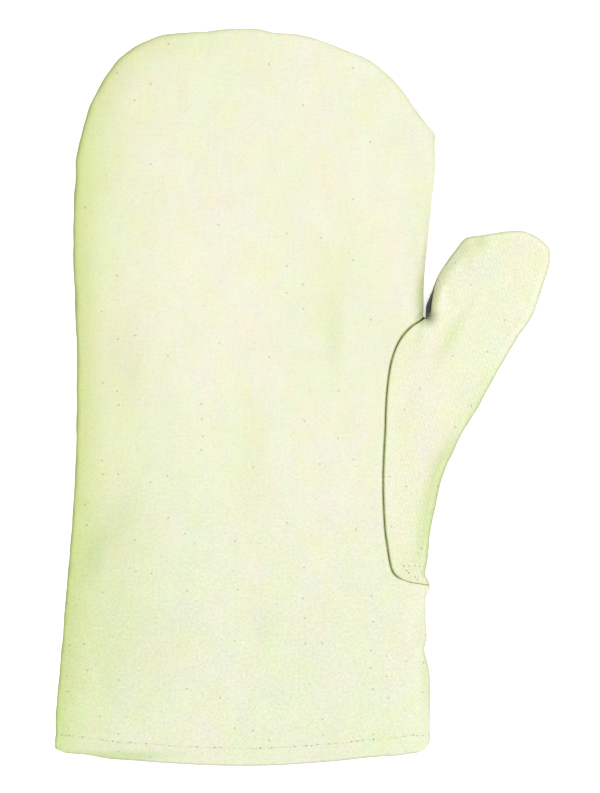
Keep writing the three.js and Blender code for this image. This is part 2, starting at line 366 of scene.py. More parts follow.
def sewnBag():
    # The two sides, welded along the side seam and lifted to their height. The cuff stays open.
    mesh = flatCut()
    panel = panelOf(mesh)
    flat = mesh.verts.layers.float_vector.new("flat")
    swell, paintedFoldShade, shade, stood = newFloats(mesh, "swell", "paintedFoldShade", "shade", "crotch")
    sewn = mesh.verts.layers.int["sewn"]
    depths = bagDepth(mesh, sewn)
    for vert, depth in zip(mesh.verts, depths):
        vert[flat] = vert.co
        vert[swell] = depth
    palm = mesh.verts[:]
    copy = bmesh.ops.duplicate(mesh, geom=mesh.verts[:] + mesh.edges[:] + mesh.faces[:])
    back = only(copy["geom"], bmesh.types.BMVert)
    backFaces = only(copy["geom"], bmesh.types.BMFace)
    for face in backFaces:
        face[panel] = backSide
    bmesh.ops.reverse_faces(mesh, faces=backFaces)
    for verts, palmUp in ((palm, True), (back, False)):
        for vert in verts:
            vert.co.z = heightOf(vert.co, vert[swell], palmUp)
    corner = Vector((*crotch["corner"], 0.0)) * mm
    for vert in palm:
        place = Vector(vert[flat])
        # Painted shade: the folds' valleys are tinted darker.
        vert[paintedFoldShade] = max(0.0, -spotsAt(place, folds))
        # Painted light: beside the notch the palm's and thumb's cloth is lifted brighter.
        vert[stood] = crotchShare(place, crotch["flank"], crotch["flankWidth"])
        # Painted shade at the palm's corner of the notch.
        vert[shade] = crotch["cornerShade"] * bell((place - corner).length / mm, crotch["cornerWidth"])
    for vert in back:
        # On the back the same share pushes the cloth out and carries the painted shadow in the notch.
        vert[stood] = crotchShare(Vector(vert[flat]), crotch["rising"], crotch["width"])
        if not vert[sewn]:
            vert.co.x -= crotch["push"] * vert[stood] * mm
    bmesh.ops.remove_doubles(mesh, verts=[vert for vert in mesh.verts if vert[sewn]], dist=touching)
    return mesh


def newObject(name, data):
    made = bpy.data.objects.new(name, data)
    bpy.context.scene.collection.objects.link(made)
    return made


def toObject(mesh, name, look=None):
    for face in mesh.faces:
        face.smooth = True
    data = bpy.data.meshes.new(name)
    mesh.to_mesh(data)
    mesh.free()
    if look:
        data.materials.append(look)
    return newObject(name, data)


bag = toObject(sewnBag(), "bag")
print("bag sewn:", len(bag.data.vertices), "points")


# How the cloth gives: it is a little larger than the form, and held along its seams.
relaxing = {
    "frames": 24,
    "quality": 6,
    "pressure": 1.2,
    "gravity": 0.1,
    "spare": 0.015,  # share by which the cloth is longer than the form
    "stretch": 40.0,
    "bending": 8.0,
    "furthest": 3.0,  # millimetres that a point may move
    "smoothing": 6,
    "fade": 45.0,  # millimetres from a seam within which the folds die away
}


def relaxCloth(piece):
    sewn = [item.value for item in piece.data.attributes["sewn"].data]
    rim = {vert for edge in edgesWithOneFace(piece.data) for vert in edge}
    held = piece.vertex_groups.new(name="held")
    still = [number for number, value in enumerate(sewn) if value or number in rim]
    held.add(still, 1.0, "REPLACE")
    cloth = piece.modifiers.new("cloth", "CLOTH")
    stuff = cloth.settings
    stuff.quality = relaxing["quality"]
    stuff.tension_stiffness = stuff.compression_stiffness = relaxing["stretch"]
    stuff.shear_stiffness = relaxing["stretch"] / 3
    stuff.bending_stiffness = relaxing["bending"]
    stuff.use_pressure = True
    stuff.uniform_pressure_force = relaxing["pressure"]
    stuff.effector_weights.gravity = relaxing["gravity"]
    stuff.shrink_min = -relaxing["spare"]
    stuff.vertex_group_mass = held.name
    cloth.point_cache.frame_end = relaxing["frames"]
    for number in range(1, relaxing["frames"] + 1):
        bpy.context.scene.frame_set(number)
    relaxed = piece.evaluated_get(bpy.context.evaluated_depsgraph_get())
    moved = np.array([vert.co for vert in relaxed.data.vertices])
    piece.modifiers.remove(cloth)
    piece.vertex_groups.clear()
    bpy.context.scene.frame_set(1)

    # Only the broad folds are kept, and they die away towards the seams and the rim.
    places = np.array([vert.co for vert in piece.data.vertices])
    steps = moved - places
    heads, tails = np.array([edge.vertices for edge in piece.data.edges]).T
    links = summed(heads, tails, None, None, len(places))
    for sweep in range(relaxing["smoothing"]):
        for axis in range(3):
            column = steps[:, axis]
            around = summed(heads, tails, column[tails], column[heads], len(places))
            steps[:, axis] = (column + around / links) / 2
    pinned = treeOf([places[number] for number in still])
    most = 0
    for vert, step in zip(piece.data.vertices, steps):
        away = pinned.find(vert.co)[2] / mm
        move = Vector(step) * smoothStep(0.0, relaxing["fade"], away)
        move *= min(1.0, relaxing["furthest"] * mm / max(move.length, touching))
        most = max(most, move.length)
        vert.co += move
        vert.co.z = max(vert.co.z, 0.0)
    print("cloth relaxed, at most", round(most / mm, 1), "mm")


def edgesWithOneFace(data):
    used = {}
    for face in data.polygons:
        for key in face.edge_keys:
            used[key] = used.get(key, 0) + 1
    return [key for key, count in used.items() if count == 1]


relaxCloth(bag)


def onSideSeam(edge, panel):
    sides = {face[panel] for face in edge.link_faces}
    return backSide in sides and len(sides) > 1


def onThumbSeam(edge, panel):
    return {face[panel] for face in edge.link_faces} == {palmSide, thumbSide}


def loopOf(edges):
    # The points of a line or ring of edges, in order.
    beside = {}
    for edge in edges:
        for vert in edge.verts:
            beside.setdefault(vert, []).append(edge.other_vert(vert))
    ends = [vert for vert, others in beside.items() if len(others) == 1]
    line = ends[:1] or [edges[0].verts[0]]
    seen = set(line)
    while True:
        onward = [vert for vert in beside[line[-1]] if vert not in seen]
        if not onward:
            return line
        line.append(onward[0])
        seen.add(onward[0])


def evaluatedMesh(piece):
    graph = bpy.context.evaluated_depsgraph_get()
    return bpy.data.meshes.new_from_object(
        piece.evaluated_get(graph), preserve_all_data_layers=True, depsgraph=graph)


def halveCells(piece):
    mesh = bmesh.new()
    mesh.from_mesh(piece.data)
    panel = panelOf(mesh)
    crease = mesh.edges.layers.float.new("crease_edge")
    for edge in mesh.edges:
        edge[crease] = float(onSideSeam(edge, panel))
    mesh.to_mesh(piece.data)
    mesh.free()
    finer = piece.modifiers.new("finer", "SUBSURF")
    finer.levels = finer.render_levels = 1
    done = evaluatedMesh(piece)
    halved = bmesh.new()
    halved.from_mesh(done)
    bpy.data.objects.remove(piece)
    bpy.data.meshes.remove(done)
    return halved


# How the cloth is drawn together along its stitches, in millimetres.
pucker = {
    "rise": 0.3,
    "grain": 7.0,
    "ease": 5.0,
    "hemStitch": 8.5,  # from the cuff's edge
    "hemShare": 0.8,  # how strong the puckers are there
    "hemDip": 0.3,
    "hemWidth": 1.7,
}

# Painted shade: a thin dark line along the glove's edge, deepest where the edge faces away from the light.
paintedEdgeShade = {
    "width": 3.0,
    "least": 0.5,
    "darkest": (-0.98, 0.2, 0.0),
    # A soft spot beside the notch, where the painted edge shade stays pale as if the cloth lay further from
    # the seam.
    "clean": (58.5, 66, 88, 30, 6, 12.0),
}


def markCloth(mesh):
    # What the looks need of each point: how far it is from the side seam, the painted shade along the edge
    # and the painted shade spots.
    panel = panelOf(mesh)
    flat = flatOf(mesh)
    fromSeam, line, paintedShadeSpot = newFloats(mesh, "fromSeam", "line", "paintedShadeSpot")
    mesh.normal_update()
    seamVerts = [vert for edge in mesh.edges if onSideSeam(edge, panel) for vert in edge.verts]
    tree = treeOf([vert.co for vert in seamVerts])
    darkest = Vector(paintedEdgeShade["darkest"])
    for vert in mesh.verts:
        near, away = tree.find(vert.co)[1:]
        vert[fromSeam] = away / mm
        if any(face[panel] != backSide for face in vert.link_faces):
            place = Vector(vert[flat])
            # Painted shade in spots.
            vert[paintedShadeSpot] = min(1.0, spotsAt(place, paintedShadeSpots))
            vert[fromSeam] += spotAt(place, *paintedEdgeShade["clean"])
        # The painted edge shade is darkest where the seam faces away from the light.
        facing = max(0.0, seamVerts[near].normal.dot(darkest))
        vert[line] = partWay(paintedEdgeShade["least"], 1, facing) * bell(vert[fromSeam], paintedEdgeShade["width"])


def addPuckers(mesh):
    panel = panelOf(mesh)
    fromSeam = mesh.verts.layers.float["fromSeam"]
    mesh.normal_update()
    thumb = [vert.co for edge in mesh.edges if onThumbSeam(edge, panel) for vert in edge.verts]
    rim = [vert.co for edge in mesh.edges if edge.is_boundary for vert in edge.verts]
    thumbTree, rimTree = treeOf(thumb), treeOf(rim)
    shift = []
    for vert in mesh.verts:
        nearest = min(vert[fromSeam], thumbTree.find(vert.co)[2] / mm)
        offHem = rimTree.find(vert.co)[2] / mm - pucker["hemStitch"]
        share = max(bell(nearest, pucker["ease"]), pucker["hemShare"] * bell(offHem, pucker["ease"]))
        rise = pucker["rise"] * share * noise.noise(vert.co / (pucker["grain"] * mm))
        dip = pucker["hemDip"] * bell(offHem, pucker["hemWidth"])
        shift.append(vert.normal * (rise - dip) * mm)
    for vert, step in zip(mesh.verts, shift):
        vert.co += step
        vert.co.z = max(vert.co.z, 0.0)


# The hem: the cuff's edge turned inwards once, with the cloth's end lying against the inside.
hem = {
    "radius": 1.5,  # of the fold's outside, in millimetres
    "turn": 8,  # rows round the fold
    "band": [2.0, 4.5, 7.0, 9.5],  # how far each row lies inside the glove
    "ease": 8.0,
    "panelRows": 5,  # rows of the fold that belong to the palm and the back
    "leastSlant": 0.6,  # limits how far the fold grows where the cloth turns sharply
    "shade": 0.32,  # how much painted shade darkens the fold
}


def foldHem(mesh):
    panel = panelOf(mesh)
    hemRow = mesh.faces.layers.int.new("hemRow")
    row = mesh.verts.layers.int.new("row")
    number = mesh.verts.layers.int.new("number")
    flat = flatOf(mesh)
    shade = mesh.verts.layers.float["shade"]
    mesh.normal_update()
    edges = [edge for edge in mesh.edges if edge.is_boundary]
    frames = []
    for vert in loopOf(edges):
        ends = [edge.other_vert(vert).co for edge in vert.link_edges if edge.is_boundary]
        toward = (ends[0] - ends[1]).cross(vert.normal).normalized()
        toward = toward if toward.y > 0 else -toward
        toward.x *= 1 - abs(vert.normal.x)  # at the corners the turned cloth keeps inside the side seams
        slant = vert.normal.dot(vert.link_faces[0].normal)
        vert[number] = len(frames)
        frames.append((vert.co.copy(), toward.normalized(), vert.normal / max(slant, hem["leastSlant"])))
    tree = treeOf([place for place, toward, out in frames])
    radius = hem["radius"] * mm
    for vert in mesh.verts:
        place, near, away = tree.find(vert.co)
        vert.co += frames[near][1] * radius * max(0.0, 1 - away / (hem["ease"] * mm)) ** 2
    turns = [math.pi * step / hem["turn"] for step in range(1, hem["turn"] + 1)]
    rows = [(radius * (1 - math.sin(turn)), radius * (1 - math.cos(turn))) for turn in turns]
    rows += [(radius + reach * mm, 2 * radius) for reach in hem["band"]]
    before = (radius, 0.0)
    for count, (up, inwards) in enumerate(rows, 1):
        made = bmesh.ops.extrude_edge_only(mesh, edges=edges)["geom"]
        edges = [edge for edge in only(made, bmesh.types.BMEdge) if edge.is_boundary]
        step = math.hypot(up - before[0], inwards - before[1])
        before = (up, inwards)
        for vert in only(made, bmesh.types.BMVert):
            place, toward, out = frames[vert[number]]
            vert.co = place + toward * up - out * inwards
            vert[flat] = vert[flat] - Vector((0, step, 0))
            vert[row] = count
            # Painted shade on the fold.
            vert[shade] = hem["shade"] if 1 < count <= hem["panelRows"] + 1 else 0.0
        for edge in edges:
            edge.link_faces[0][hemRow] = count
    return frames


cloth = halveCells(bag)
markCloth(cloth)
addPuckers(cloth)
hemFrames = foldHem(cloth)
print("hem folded:", len(cloth.verts), "points")


# The seams: each panel's edge rolls over into the glove and ends in an allowance. Sizes are in millimetres.
seam = {
    "radius": 1.25,  # of the roll's outside
    "gap": 0.1,  # half of the gap between two panels
    "turn": 6,
    "allowance": [2.0, 4.5, 7.0],
    "ease": 18.0,
    "calm": (11.0, 20.0),  # the roll is flat nearer the hem than this, and full further up
    "least": 0.12,
    "trimmed": (4.0, 15.0),  # the allowance is cut short nearer the thumb seam's two ends than this
    "stub": 0.25,
    "fine": (12.0, 19.0),  # the roll is finer nearer the thumb seam's lower end than this
    "finest": 0.5,
    "leastAside": 0.2,  # keeps the roll's start on the panel's side
    "beside": 4.0,  # points of the edge this much further than the nearest still pull the cloth along
}


def partOf(mesh, side):
    part = mesh.copy()
    panel = panelOf(part)
    hemRow = part.faces.layers.int["hemRow"]
    extra = [face for face in part.faces
             if side != (hemSide if face[hemRow] > hem["panelRows"] else face[panel])]
    bmesh.ops.delete(part, geom=extra, context="FACES")
    part.normal_update()
    return part


def seamFrames(part, edges):
    # At each point of a panel's edge: the way into the glove, the way across the panel, and its slope.
    into = part.verts.layers.float_vector["into"]
    along = {}
    for vert in dict.fromkeys(vert for edge in edges for vert in edge.verts):
        ends = [edge.other_vert(vert) for edge in vert.link_edges if edge in edges]
        along[vert] = [ends[0], ends[-1] if len(ends) > 1 else vert]
    frames = {}
    for vert, (here, there) in along.items():
        run = (here.co - there.co).normalized()
        inwards = Vector(vert[into])
        inwards = (inwards - run * inwards.dot(run)).normalized()
        own = sum((face.calc_center_median() - vert.co for face in vert.link_faces), Vector())
        across = run.cross(inwards)
        slope = run.cross(vert.normal).normalized()
        across = across if across.dot(own) > 0 else -across
        slope = slope if slope.dot(own) > 0 else -slope
        frames[vert] = (inwards, across, slope)
    for sweep in range(3):
        frames = {vert: tuple((2 * mine + one + other).normalized() for mine, one, other
                              in zip(frames[vert], frames[here], frames[there]))
                  for vert, (here, there) in along.items()}
    return frames


def rollSeams(part):
    row = part.verts.layers.int["row"]
    flat = flatOf(part)
    number = part.verts.layers.int["number"]
    paintedGrooveShade = part.verts.layers.float.new("paintedGrooveShade")
    cutRow = hem["panelRows"]
    edges = {edge for edge in part.edges
             if edge.is_boundary and min(vert[row] for vert in edge.verts) < cutRow}
    rim = [vert.co.copy() for vert in part.verts if vert[row] == cutRow]
    rimTree = treeOf(rim) if rim else None
    frames = seamFrames(part, edges)
    ends = [Vector((*thumbSeam[which], 0.0)) * mm for which in (0, -1)]
    rolls = []
    for vert, (inwards, across, slope) in frames.items():
        aways = [(Vector(vert[flat]) - end).length / mm for end in ends]
        trimmed = partWay(seam["stub"], 1, smoothStep(*seam["trimmed"], min(aways)))
        size = partWay(seam["finest"], 1, smoothStep(*seam["fine"], aways[1]))
        if rimTree:
            size *= max(seam["least"], smoothStep(*seam["calm"], rimTree.find(vert.co)[2] / mm))
        ahead, aside = slope.dot(inwards), max(slope.dot(across), seam["leastAside"])
        outFlat = sum((Vector(vert[flat]) - Vector(edge.other_vert(vert)[flat])
                       for edge in vert.link_edges if edge not in edges), Vector())
        sideways = across * (seam["radius"] + seam["gap"])
        vert[number] = len(rolls)
        rolls.append({
            "place": vert.co.copy(),
            "centre": vert.co + (inwards * seam["radius"] + sideways) * size * mm,
            "inwards": inwards,
            "across": across,
            "start": math.atan2(aside, ahead) - math.pi / 2,
            "size": size,
            "reach": size * trimmed,
            "outFlat": outFlat.normalized(),
        })

    def onRoll(roll, turn):
        away = roll["inwards"] * math.cos(turn) + roll["across"] * math.sin(turn)
        return roll["centre"] - away * seam["radius"] * roll["size"] * mm

    shifts = [onRoll(roll, roll["start"]) - roll["place"] for roll in rolls]
    tree = treeOf([roll["place"] for roll in rolls])
    ease = seam["ease"] * mm
    for vert in part.verts:
        if vert in frames:
            continue
        away = tree.find(vert.co)[2]
        if away < ease:
            near = tree.find_range(vert.co, away + seam["beside"] * mm)
            weights = [1 / (reach - away + mm) ** 2 for place, count, reach in near]
            pushes = [shifts[count] * weight for (place, count, reach), weight in zip(near, weights)]
            vert.co += sum(pushes, Vector()) / sum(weights) * (1 - away / ease) ** 3
    for vert in frames:
        vert.co += shifts[vert[number]]
    rows = [(step / seam["turn"], 0.0) for step in range(1, seam["turn"] + 1)]
    rows += [(1.0, length) for length in seam["allowance"]]
    edges = list(edges)
    for share, length in rows:
        made = bmesh.ops.extrude_edge_only(part, edges=edges)["geom"]
        verts = only(made, bmesh.types.BMVert)
        fresh = set(verts)
        edges = [edge for edge in only(made, bmesh.types.BMEdge) if fresh.issuperset(edge.verts)]
        for vert in verts:
            roll = rolls[vert[number]]
            before = vert.co.copy()
            turn = partWay(roll["start"], math.pi / 2, share)
            vert.co = onRoll(roll, turn) + roll["inwards"] * length * roll["reach"] * mm
            vert[flat] = vert[flat] + roll["outFlat"] * (vert.co - before).length
            # Painted shade: the roll darkens as it turns into the groove.
            vert[paintedGrooveShade] = share * roll["size"]


def markInwards(mesh):
    mesh.normal_update()
    into = mesh.verts.layers.float_vector.new("into")
    for vert in mesh.verts:
        vert[into] = -vert.normal


def layCut(part, mirrored):
    # The cloth's pattern follows the flat cut. The map is in metres, and the back's cut is turned over.
    flat = flatOf(part)
    cut = part.loops.layers.uv.new("cut")
    for face in part.faces:
        for loop in face.loops:
            x, y = loop.vert[flat][:2]
            loop[cut].uv = (-x if mirrored else x, y)


clothWall = {"thickness": 1.25, "sharpFrom": 55}  # millimetres, and the angle of a sharp edge in degrees


def thicken(part, name, look):
    piece = toObject(part, name, look)
    wall = piece.modifiers.new("wall", "SOLIDIFY")
    wall.thickness = clothWall["thickness"] * mm
    wall.offset = -1
    done = evaluatedMesh(piece)
    piece.modifiers.clear()
    piece.data = done
    done.set_sharp_from_angle(angle=math.radians(clothWall["sharpFrom"]))
    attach(piece, "root")
    print(name + ":", sum(len(face.vertices) - 2 for face in done.polygons), "triangles")
    return piece


def addNode(tree, kind, options=None, inputs=None):
    node = tree.nodes.new("ShaderNode" + kind)
    for option, value in (options or {}).items():
        setattr(node, option, value)
    for socket, value in (inputs or {}).items():
        if isinstance(value, bpy.types.NodeSocket):
            tree.links.new(value, node.inputs[socket])
        else:
            node.inputs[socket].default_value = value
    return node


def blend(tree, kind, share, first, second):
    # The Mix node takes its two colours in sockets 6 and 7.
    mix = addNode(tree, "Mix", {"data_type": "RGBA", "blend_type": kind}, {0: share, 6: first, 7: second})
    return mix.outputs[2]


def reckon(tree, operation, *values):
    return addNode(tree, "Math", {"operation": operation}, dict(enumerate(values))).outputs[0]


def remap(tree, value, *ends):
    # The first two ends become 0 and 1, or the last two.
    inputs = dict(enumerate((value, *ends)))
    return addNode(tree, "MapRange", {"interpolation_type": "SMOOTHSTEP"}, inputs).outputs[0]


def vectorMath(tree, operation, *values):
    return addNode(tree, "VectorMath", {"operation": operation}, dict(enumerate(values))).outputs


def attributeOf(tree, name):
    return addNode(tree, "Attribute", {"attribute_name": name}).outputs["Fac"]


def stretched(tree, place, turn=0.0, scale=(1.0, 1.0, 1.0)):
    inputs = {"Vector": place, "Rotation": (0, 0, math.radians(turn)), "Scale": scale}
    return addNode(tree, "Mapping", None, inputs).outputs[0]


def noiseAt(tree, place, sockets, stretch=None):
    place = stretched(tree, place, scale=stretch) if stretch else place
    return addNode(tree, "TexNoise", None, {"Vector": place, **sockets}).outputs


def waveAt(tree, place, pitch, sockets):
    oneBand = 0.314  # scale of Blender's wave texture that gives one band to a unit
    inputs = {"Vector": place, "Scale": oneBand / pitch, **sockets}
    return addNode(tree, "TexWave", None, inputs).outputs["Fac"]


def newLook(name, sockets):
    material = bpy.data.materials.new(name)
    material.use_nodes = True
    tree = material.node_tree
    shader = tree.nodes["Principled BSDF"]
    for socket, value in sockets.items():
        shader.inputs[socket].default_value = value
    return material, tree, shader


# Raw cotton canvas in twill weave. Lengths are in millimetres, and colours are linear.
canvas = {
    "greenCream": (0.765, 0.785, 0.58, 1),
    "warmCream": (0.795, 0.78, 0.61, 1),
    "clouds": {"Scale": 1 / 38, "Detail": 3.0, "Roughness": 0.6},
    "cloudStretch": (1.0, 0.38, 1.0),
    "creams": (0.38, 0.62),  # values of the clouds from one cream to the other
    "twillPitch": 1.7,  # from one diagonal rib to the next
    "ribWaver": {"Distortion": 2.2, "Detail": 2.0, "Detail Scale": 1.2},
    "ribDepth": 0.10,
    "toneDrop": 0.04,  # comes off the tone before the ribs add to it
    "yarnPitch": 0.42,
    "yarnWaver": {"Distortion": 0.8, "Detail": 1.0, "Detail Scale": 0.5},
    "wear": {"Scale": 0.45, "Detail": 3.0},
    "weaveLeft": (0.3, 0.6, 0.35, 1.0),  # values of the wear, and what is left of the weave at each
    "slub": 0.07,  # how much single yarns differ in tone
    "slubs": {"Scale": 1.0, "Detail": 2.0},
    "yarnWays": [(1.5, 0.06, 1.0), (0.06, 1.5, 1.0)],
    "fuzz": {"Scale": 1 / 1.3, "Detail": 1.0, "Roughness": 0.6},
    "fuzzAtCuff": 1.3,
    "mottle": (0.17, 0.17, 0.46),  # how much red, green and blue vary from place to place
    "mottles": {"Scale": 1 / 12, "Detail": 3.3, "Roughness": 0.8},
    "mottleStretch": (1.0, 0.65, 1.0),
    "fleck": (0.20, 0.21, 0.11, 1),
    "frays": {"Scale": 2.5, "Detail": 2.0},
    "frayReach": (0.5, 0.5, 0.0),  # how far the flecks' edges wander
    "cuffTint": (0.955, 0.99, 0.965, 1),
    "cuffward": (0.06, -0.16),  # metres along the glove between which the cuff's look comes in
    # Painted shade: near the side seam the cloth is darker and yellow-green, most on the little finger's
    # side, away from the light, and towards the cuff: how far from the seam, and how much.
    "edges": [(60.0, (0.93, 0.97, 0.76, 1)), (24.0, (0.82, 0.88, 0.58, 1)), (8.0, (0.68, 0.74, 0.53, 1))],
    "towardsShade": (-1.0, -0.2, 0.0),  # towards the little finger
    "yellowing": (-0.03, 0.11),  # metres that way between which the painted shade comes in
    # Painted shade along the side seam, and the millimetres from the seam between which it fades in.
    "seamTint": (0.84, 0.86, 0.79, 1),
    "seamReach": (7.0, 0.3),
    # For each mark on the cloth, all of them painted light or shade, the value at which its tint is full.
    "marks": {
        # painted shade in the folds' valleys
        "paintedFoldShade": (1.6, (0.975, 0.985, 0.92, 1)),
        # painted shade in spots along creases and shaded edges
        "paintedShadeSpot": (1.0, (0.80, 0.88, 0.68, 1)),
        # painted shade along the edge
        "line": (1.0, (0.59, 0.65, 0.49, 1)),
        "crotch": (1.0, (1.28, 1.27, 1.25, 1)),  # painted light: lifts the cloth beside the notch above its own colour
        # painted shade in the seams' grooves
        "paintedGrooveShade": (0.9, (0.40, 0.46, 0.13, 1)),
        # painted shade on the hem's fold and the notch's corner
        "shade": (0.8, (0.20, 0.21, 0.10, 1)),
    },
    # Painted shadow: the back's cloth in the notch is nearly black.
    "paintedCrotchShadow": (0.7, (0.09, 0.09, 0.10, 1)),
    "sockets": {"Roughness": 0.9, "Sheen Weight": 0.15, "Specular IOR Level": 0.3},
}

# What differs between the glove's body and its thumb. Angles are in degrees, and yellow is how much
# nearness to the cuff adds to the painted edge shade, and the least.
bodyKind = {"slant": 45.0, "turn": 0.0, "ribShade": 0.05, "fuzz": 0.22, "fuzzAtTips": 0.6}
bodyKind["yellow"] = (0.07, 0.0)
thumbKind = {"slant": -45.0, "turn": 27.0, "ribShade": 0.09, "fuzz": 0.253, "fuzzAtTips": 1.0}
thumbKind["yellow"] = (0.42, 0.1)

# Bits of cotton seed, large and small. Sizes are in millimetres.
seedBits = [
    {"turn": 0.0, "cell": 8.0, "radius": 0.5, "share": 0.13, "strength": 0.45},
    {"turn": 31.0, "cell": 4.2, "radius": 0.42, "share": 0.28, "strength": 0.15},
]
seedSpread = {"reach": 170.0, "cuffAndTips": (1.6, 0.4), "rimAndCore": (1.3, 0.5)}


def flecks(tree, place, bits):
    # One dot in some of the cells, and more of them towards the cuff.
    options = {"voronoi_dimensions": "2D"}
    dots = addNode(tree, "TexVoronoi", options, {"Vector": place, "Scale": 1 / bits["cell"]})
    chance = addNode(tree, "SeparateColor", None, {0: dots.outputs["Color"]}).outputs[0]
    height = addNode(tree, "SeparateXYZ", None, {0: place}).outputs[1]
    atCuff, atTips = (bits["share"] * part for part in seedSpread["cuffAndTips"])
    wanted = remap(tree, height, -seedSpread["reach"], seedSpread["reach"], atCuff, atTips)
    rim, core = (part * bits["radius"] / bits["cell"] for part in seedSpread["rimAndCore"])
    near = remap(tree, dots.outputs["Distance"], rim, core)
    return reckon(tree, "MULTIPLY", near, reckon(tree, "LESS_THAN", chance, wanted))


def canvasMaterial(name, kind, back=False):
    material, tree, shader = newLook(name, canvas["sockets"])
    cut = addNode(tree, "UVMap", {"uv_map": "cut"}).outputs[0]
    place = addNode(tree, "VectorMath", {"operation": "SCALE"}, {0: cut, "Scale": 1 / mm}).outputs[0]
    grain = stretched(tree, place, kind["turn"])

    ribs = waveAt(tree, stretched(tree, grain, kind["slant"]), canvas["twillPitch"], canvas["ribWaver"])
    yarns = waveAt(tree, grain, canvas["yarnPitch"], canvas["yarnWaver"])
    weave = reckon(tree, "MULTIPLY", ribs, reckon(tree, "MULTIPLY_ADD", yarns, 0.5, 0.5))
    worn = noiseAt(tree, place, canvas["wear"])[0]
    weave = reckon(tree, "MULTIPLY", weave, remap(tree, worn, *canvas["weaveLeft"]))

    inGlove = addNode(tree, "TexCoord").outputs["Object"]
    low = remap(tree, addNode(tree, "SeparateXYZ", None, {0: inGlove}).outputs[1], *canvas["cuffward"])
    clouds = noiseAt(tree, place, canvas["clouds"], canvas["cloudStretch"])[0]
    cream = remap(tree, clouds, *canvas["creams"])
    colour = blend(tree, "MIX", cream, canvas["greenCream"], canvas["warmCream"])
    mottled = noiseAt(tree, place, canvas["mottles"], canvas["mottleStretch"])["Color"]
    least = [1 - part / 2 for part in canvas["mottle"]]
    mottled = vectorMath(tree, "MULTIPLY_ADD", mottled, canvas["mottle"], least)[0]
    colour = blend(tree, "MULTIPLY", 1.0, colour, mottled)

    warp, weft = (noiseAt(tree, grain, canvas["slubs"], way)[0] for way in canvas["yarnWays"])
    tone = reckon(tree, "MULTIPLY_ADD", reckon(tree, "ADD", warp, weft), canvas["slub"], 1 - canvas["slub"])
    fuzz = reckon(tree, "SUBTRACT", noiseAt(tree, place, canvas["fuzz"])[0], 0.5)
    towardsCuff = remap(tree, low, 0.0, 1.0, kind["fuzzAtTips"], canvas["fuzzAtCuff"])
    tone = reckon(tree, "MULTIPLY_ADD", fuzz, reckon(tree, "MULTIPLY", kind["fuzz"], towardsCuff), tone)
    tone = reckon(tree, "SUBTRACT", tone, canvas["toneDrop"])
    tone = reckon(tree, "MULTIPLY_ADD", weave, kind["ribShade"], tone)
    tones = addNode(tree, "CombineColor", None, {0: tone, 1: tone, 2: tone}).outputs[0]
    colour = blend(tree, "MULTIPLY", 1.0, colour, tones)

    frayed = noiseAt(tree, place, canvas["frays"])["Color"]
    ragged = vectorMath(tree, "MULTIPLY_ADD", frayed, canvas["frayReach"], place)[0]
    for bits in seedBits:
        dots = flecks(tree, stretched(tree, ragged, bits["turn"]), bits)
        dots = reckon(tree, "MULTIPLY", dots, bits["strength"])
        colour = blend(tree, "MIX", dots, colour, canvas["fleck"])

    fromSeam = attributeOf(tree, "fromSeam")
    towardsShade = vectorMath(tree, "DOT_PRODUCT", inGlove, canvas["towardsShade"])["Value"]
    yellowed = remap(tree, towardsShade, *canvas["yellowing"])
    yellowed = reckon(tree, "MAXIMUM", yellowed, reckon(tree, "MULTIPLY_ADD", low, *kind["yellow"]))
    colour = blend(tree, "MULTIPLY", low, colour, canvas["cuffTint"])
    # Painted shade near the side seam, strongest on the little finger's side and towards the cuff.
    for width, tint in canvas["edges"]:
        nearEdge = reckon(tree, "MULTIPLY", remap(tree, fromSeam, width, 0.0), yellowed)
        colour = blend(tree, "MULTIPLY", nearEdge, colour, tint)
    # Painted shade along the side seam.
    nearSeam = remap(tree, fromSeam, *canvas["seamReach"])
    colour = blend(tree, "MULTIPLY", nearSeam, colour, canvas["seamTint"])
    # The marks: painted light and shade.
    for mark, (full, tint) in canvas["marks"].items():
        if back and mark == "crotch":
            full, tint = canvas["paintedCrotchShadow"]
        colour = blend(tree, "MULTIPLY", remap(tree, attributeOf(tree, mark), 0.0, full), colour, tint)
    tree.links.new(colour, shader.inputs["Base Color"])

    bump = addNode(tree, "Bump", None, {"Distance": canvas["ribDepth"] * mm, "Height": weave})
    tree.links.new(bump.outputs[0], shader.inputs["Normal"])
    return material


def threadMaterial(name, colour, roughness, grain=900.0, darker=0.75):
    material, tree, shader = newLook(name, {"Roughness": roughness})
    place = addNode(tree, "TexCoord").outputs["Object"]
    darkest, palest = 0.35, 0.65
    tone = remap(tree, noiseAt(tree, place, {"Scale": grain, "Detail": 2.0})[0], darkest, palest)
    dark = tuple(darker * part for part in colour[:3]) + (1,)
    tree.links.new(blend(tree, "MIX", tone, dark, colour), shader.inputs["Base Color"])
    return material


canvasLook = canvasMaterial("cotton_canvas", bodyKind)
# The back's canvas also carries the painted shadow in the notch.
backCanvasLook = canvasMaterial("cotton_canvas_of_the_back", bodyKind, back=True)
thumbCanvasLook = canvasMaterial("cotton_canvas_on_the_bias", thumbKind)
threadLook = threadMaterial("cotton_thread", (0.76, 0.78, 0.58, 1), 0.8)
# Painted shade in part: the seam's thread is real, but made dark olive so that it also darkens the seam's
# groove.
seamThreadLook = threadMaterial("olive_thread", (0.26, 0.31, 0.06, 1), 0.85, grain=170.0, darker=0.4)
# Painted shade: the dark of the needle holes.
holeShadeLook = threadMaterial("needle_hole_shade", (0.24, 0.27, 0.13, 1), 0.95)

markInwards(cloth)

